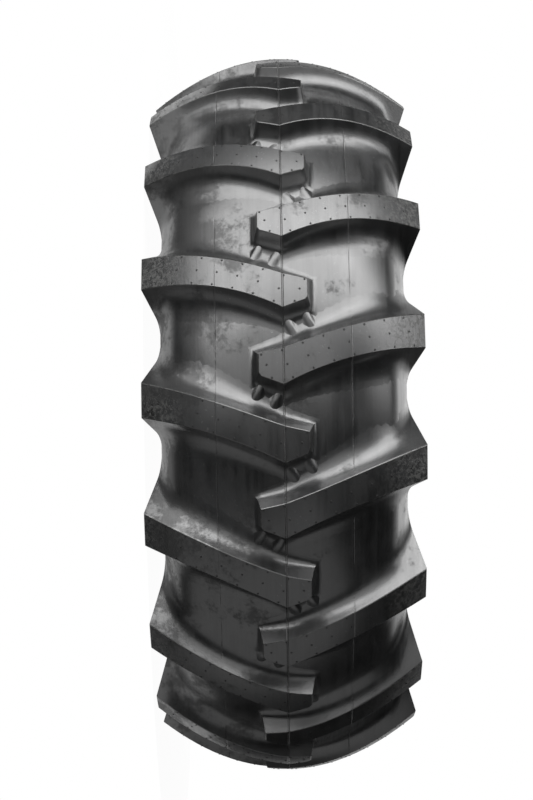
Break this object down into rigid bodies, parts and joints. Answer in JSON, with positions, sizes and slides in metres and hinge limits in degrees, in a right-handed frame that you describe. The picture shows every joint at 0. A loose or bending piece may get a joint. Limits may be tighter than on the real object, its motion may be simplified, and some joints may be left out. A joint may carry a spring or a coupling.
{
  "type": "implement tyre",
  "caption": "Traction tyre for a farm implement: open casing with two beads and staggered, angled tread lugs that meet in a V.",
  "frame": {"origin": "wheel centre: on the axle line, midway between the two beads", "axes": "+Z along the axle; the tyre lies on its side, on the outer ends of its lower lugs; a kink of an upper lug lies at +X"},
  "size_m": [0.845, 0.845, 0.2914],
  "materials": {
    "tyre": "satin moulded black rubber"
  },
  "bodies": {
    "root": {"tyre": "tyre"}
  },
  "joints": []
}
